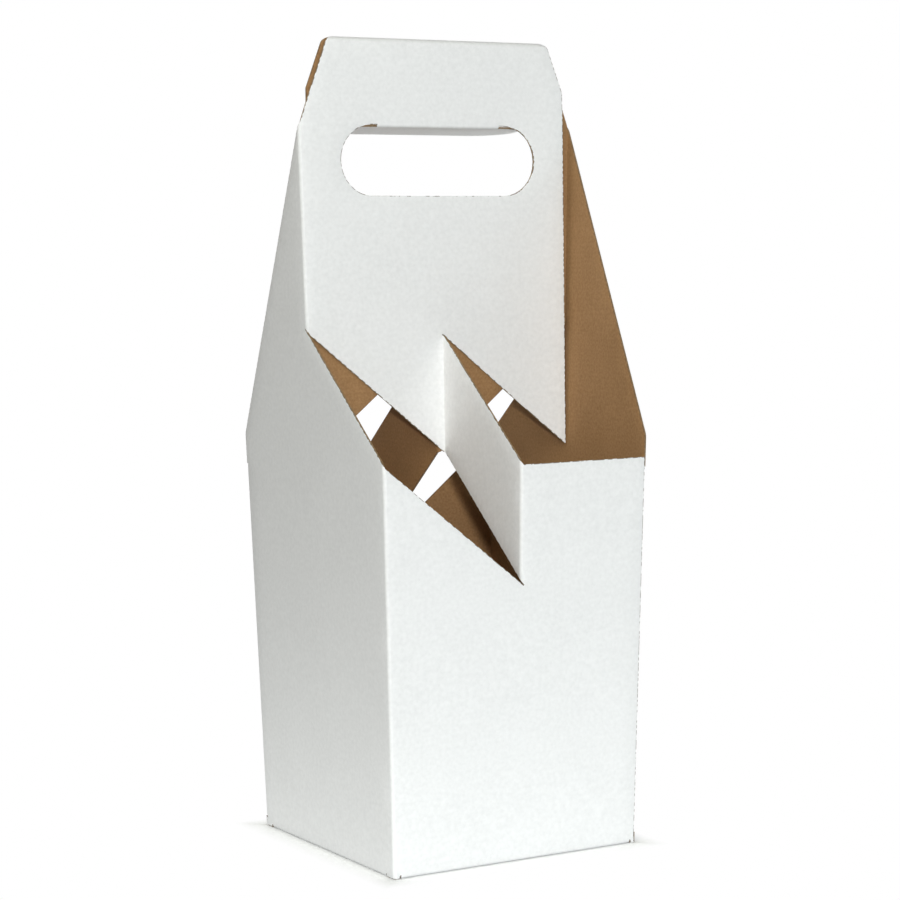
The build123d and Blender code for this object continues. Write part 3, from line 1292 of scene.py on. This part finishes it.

# %% [markdown]
# ## A white table
# The carrier stands on white, with a thin dark line at its foot. A bright floor all round would light the
# walls too evenly. So the floor glows, a painted pool of light, close to the carrier and to its right. The
# glow stops under the carrier and just past its foot: painted shade under it, which adds to the real shadow
# in the thin dark line. The rays that show the background see plain white instead, past the foot.

# %% Floor
floor_reach = 6.0
floor_mesh = bpy.data.meshes.new("floor")
corners = [(-1, -1), (1, -1), (1, 1), (-1, 1)]
floor_mesh.from_pydata([(x * floor_reach, y * floor_reach, 0) for x, y in corners], [], [(0, 1, 2, 3)])
floor = add_object("floor", floor_mesh)
floor_white = bpy.data.materials.new("floor_white")
floor_white.use_nodes = True
floor_mesh.materials.append(floor_white)
floor_shader = floor_white.node_tree.nodes["Principled BSDF"]
floor_shader.inputs["Roughness"].default_value = 0.9
floor_shader.inputs["Specular IOR Level"].default_value = 0.0
floor_shader.inputs["Emission Strength"].default_value = 0.83
print("floor:", 2 * floor_reach, "m wide")

# %% Glow of the floor
# Painted shade: the floor's glow fades out between these distances, under the carrier and just past its foot.
painted_foot_shade_edge = (0.080, 0.0885)
past_foot = (0.0855, 0.1)
near_end = (0.26, 0.34)
far_end = (1.1, 1.3)
right_heading = (0.966, -0.259, 0)
right_spread = (0.5, 0.65)
near_glow = 0.92
seen_glow = 0.3


def shows_background(nodes):
    """1 for the rays that show the background: from the camera, off a gloss or through something clear."""
    kinds = ("Is Camera Ray", "Is Glossy Ray", "Is Transmission Ray")
    camera_ray, glossy_ray, clear_ray = (nodes.add("ShaderNodeLightPath", output=kind) for kind in kinds)
    return camera_ray + glossy_ray + clear_ray


nodes = Nodes(floor_white.node_tree)
place = nodes.add("ShaderNodeTexCoord", output="Object")
away = nodes.add("ShaderNodeVectorMath", {"operation": "LENGTH"}, {0: place}, "Value")
seen = shows_background(nodes)
floor_tone = nodes.colour_mix(seen, rgb(0.15, 0.15, 0.15), rgb(0.95, 0.95, 0.95))
nodes.feed(floor_shader.inputs["Base Color"], floor_tone)
sideways, lengthways = (nodes.add("ShaderNodeSeparateXYZ", None, {0: place}, axis).size() for axis in "XY")
square = sideways.math("MAXIMUM", sideways, lengthways)
heading = nodes.add(
    "ShaderNodeVectorMath", {"operation": "DOT_PRODUCT"}, {0: place, 1: right_heading}, "Value")
# Painted light: a pool of glow on the floor near the carrier and to its right.
around = away.ramp(*near_end)
right_pool = around * (1 - away.ramp(*far_end)) * (heading / away).ramp(*right_spread)
pool = ((1 - around) * near_glow + right_pool) * (1 - seen) + seen * seen_glow
# The glow is cut off under the carrier and along its foot, which paints shade there.
glow_outside_painted_shade = pool * square.ramp(*painted_foot_shade_edge)
floor_glow = nodes.colour_mix(glow_outside_painted_shade, rgb(0, 0, 0), rgb(0.96, 1, 0.99))
nodes.feed(floor_shader.inputs["Emission Color"], floor_glow)
plain_white = nodes.add("ShaderNodeEmission", None, {"Color": rgb(1, 1, 1), "Strength": 1.0})
beyond = square.ramp(*past_foot)
mixed = nodes.add("ShaderNodeMixShader", None, {
    0: seen * beyond, 1: Socket(nodes, floor_shader.outputs[0]), 2: plain_white})
nodes.feed(floor_white.node_tree.nodes["Material Output"].inputs["Surface"], mixed)
print("floor's tree:", len(floor_white.node_tree.nodes), "nodes")

# %% [markdown]
# ## Surroundings
# Round the carrier is a dim room: a low ring of light and a bright patch overhead, which fill the shadows.
# A picture of a studio could do this, but two ramps over the direction are enough. Behind the carrier the
# same rays as on the floor see plain white.

# %% Dim room and white backdrop
ring_share = 0.8
ring_end = (0.25, 0.5)
overhead_start = (0.5, 0.9)
room_strength = 0.2
world = bpy.data.worlds.new("studio")
bpy.context.scene.world = world
world.use_nodes = True
nodes = Nodes(world.node_tree)
seen = shows_background(nodes)
way = nodes.add("ShaderNodeTexCoord", output="Generated")
upwards = nodes.add("ShaderNodeSeparateXYZ", None, {0: way}, "Z")
lit = ring_share * (1 - upwards.ramp(*ring_end)) + upwards.ramp(*overhead_start)
glow = nodes.colour_mix(lit, rgb(0, 0, 0), rgb(1.0, 1.0, 0.98))
room = nodes.add("ShaderNodeBackground", None, {"Color": glow, "Strength": room_strength})
backdrop = nodes.add("ShaderNodeBackground", None, {"Color": rgb(1, 1, 1), "Strength": 1.0})
both = nodes.add("ShaderNodeMixShader", None, {0: seen, 1: room, 2: backdrop})
nodes.feed(world.node_tree.nodes["World Output"].inputs["Surface"], both)
print("room's tree:", len(world.node_tree.nodes), "nodes")

# %% [markdown]
# ## Lights
# A small key light close to the camera's line throws the divider's dark wedge and the thin shadows at the
# slits. Large soft lights from the high left, the front and the back fill the white walls. A weak, narrow
# one from behind and below lights the underside of the hand flap. One big light would be simpler, but it
# would soften those shadows away.

# %% Soft and small lights
carrier_middle = (0, 0, 0.25)
hand_flap_place = (0, 0.02, 0.42)
hole_light_spread = 20


def soft_light(name, place, target, width, watts, colour):
    data = bpy.data.lights.new(name, "AREA")
    data.shape = "SQUARE"
    data.size = width
    data.energy = watts
    data.color = colour
    light = add_object(name, data)
    light.location = place
    light.rotation_euler = (Vector(target) - Vector(place)).to_track_quat("-Z", "Y").to_euler()
    light.visible_camera = False
    return light


soft_light("key_light", (-0.958, -1.867, 0.45), carrier_middle, 0.08, 23.4, (0.98, 0.995, 1.0))
soft_light("high_light", (-1.3, -1.0, 1.6), carrier_middle, 0.8, 13.2, (1.0, 0.99, 0.86))
soft_light("front_light", (-0.3, -1.9, 0.3), carrier_middle, 1.0, 5.2, (0.8, 0.95, 1.0))
soft_light("back_light", (1.2, 1.7, 0.7), carrier_middle, 1.2, 20, (1.0, 1.0, 0.97))
hole_light = soft_light("hole_light", (0, 0.75, 0.06), hand_flap_place, 0.3, 0.06, (1.0, 0.98, 0.93))
hole_light.data.spread = math.radians(hole_light_spread)
print("lights:", [light.name for light in bpy.data.lights])

# %% [markdown]
# ## Camera
# The photo was taken from the carrier's front left, a little above its middle, with a long lens. A Track To
# constraint could aim the camera, but it allows no roll. So the camera is turned by its yaw, pitch and
# roll, which were fitted to the carrier's corners.

# %% The photo's view
camera_place = (-0.7572, -1.3113, 0.3579)
yaw, pitch, roll = 0.5269, 0.0790, -0.0133
camera_data = bpy.data.cameras.new("camera")
camera = add_object("camera", camera_data)
bpy.context.scene.camera = camera
forward = Vector((math.sin(yaw) * math.cos(pitch), math.cos(yaw) * math.cos(pitch), -math.sin(pitch)))
right = forward.cross(Vector((0, 0, 1))).normalized()
up = right.cross(forward)
right, up = right * math.cos(roll) + up * math.sin(roll), up * math.cos(roll) - right * math.sin(roll)
turn = Matrix((right, up, -forward)).transposed()
camera.matrix_world = Matrix.Translation(camera_place) @ turn.to_4x4()
camera_data.sensor_width = 36
camera_data.lens = 99.29
camera_data.clip_end = 50

bpy.context.scene.view_settings.view_transform = "Standard"
print("camera:", round(Vector(camera_place).length, 2), "m from the origin, lens", camera_data.lens, "mm")
